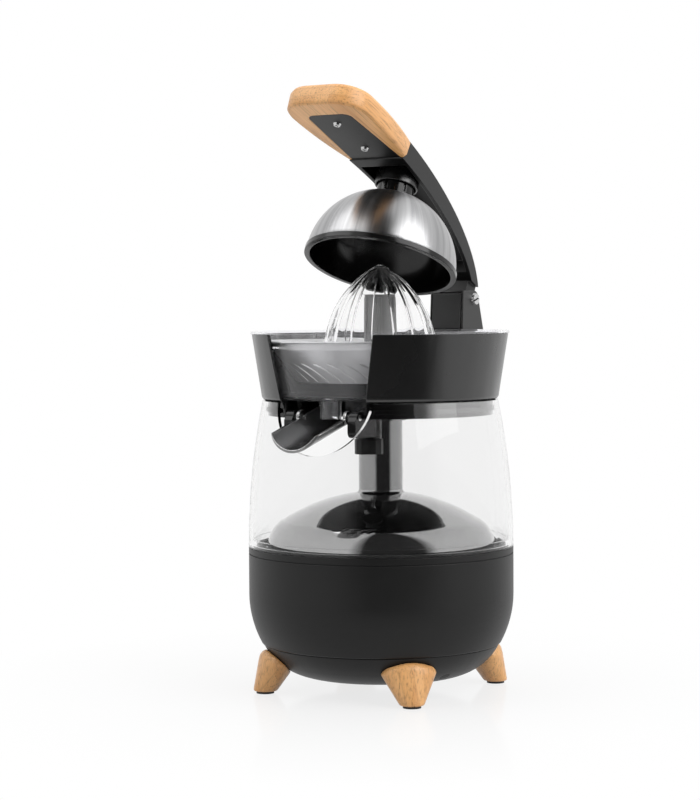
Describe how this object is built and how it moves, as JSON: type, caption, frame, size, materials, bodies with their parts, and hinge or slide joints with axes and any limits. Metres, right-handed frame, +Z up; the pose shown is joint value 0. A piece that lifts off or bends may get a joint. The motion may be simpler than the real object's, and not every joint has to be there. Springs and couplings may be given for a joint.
{
  "type": "electric citrus juicer",
  "caption": "Electric citrus juicer: lever press with a domed cup over a ribbed reamer, slotted strainer in a clear bowl, tilting spout, clear barrel and wooden feet.",
  "frame": {"origin": "on the floor plane under the reamer's axis, in the middle of the four foot pads", "axes": "+Z up along the reamer's axis, -Y towards the spout and the handle, +Y towards the lever's hinge"},
  "size_m": [0.18, 0.2348, 0.404],
  "materials": {
    "matt_black": "matt moulded",
    "gloss_black": "glossy moulded",
    "lever_black": "satin powder coat",
    "bamboo": "clear lacquered bamboo",
    "barrel_clear": "clear polished",
    "bowl_clear": "clear polished",
    "reamer_clear": "clear polished",
    "brushed": "spun and brushed",
    "strainer_steel": "bright stamped",
    "spout_steel": "polished sheet",
    "plate_steel": "rolled sheet",
    "fastener": "bright plated",
    "shaft_steel": "ground",
    "brass": "turned",
    "rubber": "soft moulded",
    "gear_white": "moulded gear plastic",
    "motor_grey": "plated steel can",
    "hub_grey": "moulded",
    "column_dark": "moulded"
  },
  "bodies": {
    "base": {"base_drum": "matt_black", "bottom_cover": "matt_black", "feet": "bamboo", "foot_pads": "rubber", "foot_screws": "fastener", "cover_screws": "fastener", "screw_plugs": "rubber", "cord_gland": "rubber", "gear_plate": "plate_steel", "plate_screws": "fastener", "motor_can": "motor_grey", "motor_screws": "fastener", "idler_pin": "shaft_steel", "lower_bush": "brass", "upper_bush": "brass", "switch_body": "gloss_black", "motor_dome": "gloss_black", "column_tube": "column_dark", "glass_body": "barrel_clear", "lower_seal": "rubber", "upper_seal": "rubber", "support_tray": "gloss_black", "boss_nut": "gloss_black", "upper_ring": "matt_black", "juice_bowl": "bowl_clear", "strainer": "strainer_steel", "spout_pins": "fastener", "hinge_bracket": "matt_black", "bracket_screws": "fastener", "pivot_screw": "fastener", "pivot_nut": "fastener"},
    "lever": {"lever_arm": "lever_black", "handle": "bamboo", "handle_screws": "fastener", "bayonet_collar": "gloss_black", "press_dome": "brushed", "dome_liner": "gloss_black"},
    "press_carrier": {"thrust_cup": "gear_white", "switch_plunger": "brass", "return_spring": "shaft_steel"},
    "reamer_drive": {"drive_shaft": "shaft_steel", "output_gear": "gear_white", "drive_hub": "hub_grey", "reamer": "reamer_clear"},
    "idler": {"idler_gear": "gear_white"},
    "motor_rotor": {"motor_shaft": "shaft_steel", "motor_pinion": "brass"},
    "spout": {"spout": "spout_steel"}
  },
  "joints": [
    {"name": "lever_hinge", "type": "hinge", "parent": "base", "child": "lever", "pos_m": [0, 0.109, 0.265], "axis": [-1, 0, 0], "range_deg": [-22, 60]},
    {"name": "reamer_press", "type": "slide", "parent": "base", "child": "press_carrier", "axis": [0, 0, -1], "range_m": [0, 0.002], "stiffness_N_per_m": 3000, "springref_m": -0.004, "deforming": ["return_spring"]},
    {"name": "reamer_spin", "type": "hinge", "parent": "press_carrier", "child": "reamer_drive", "pos_m": [0, 0, 0.1], "axis": [0, 0, 1], "continuous": true},
    {"name": "idler_spin", "type": "hinge", "parent": "base", "child": "idler", "pos_m": [0.026, 0.02703, 0.08], "axis": [0, 0, 1], "continuous": true},
    {"name": "motor_spin", "type": "hinge", "parent": "base", "child": "motor_rotor", "pos_m": [0, 0.042, 0.08], "axis": [0, 0, 1], "continuous": true},
    {"name": "spout_tilt", "type": "hinge", "parent": "base", "child": "spout", "pos_m": [0, -0.071, 0.188], "axis": [-1, 0, 0], "range_deg": [0, 35]}
  ],
  "couplings": [
    {"joint": "idler_spin", "follows": "reamer_spin", "ratio": -3},
    {"joint": "motor_spin", "follows": "reamer_spin", "ratio": 9}
  ]
}
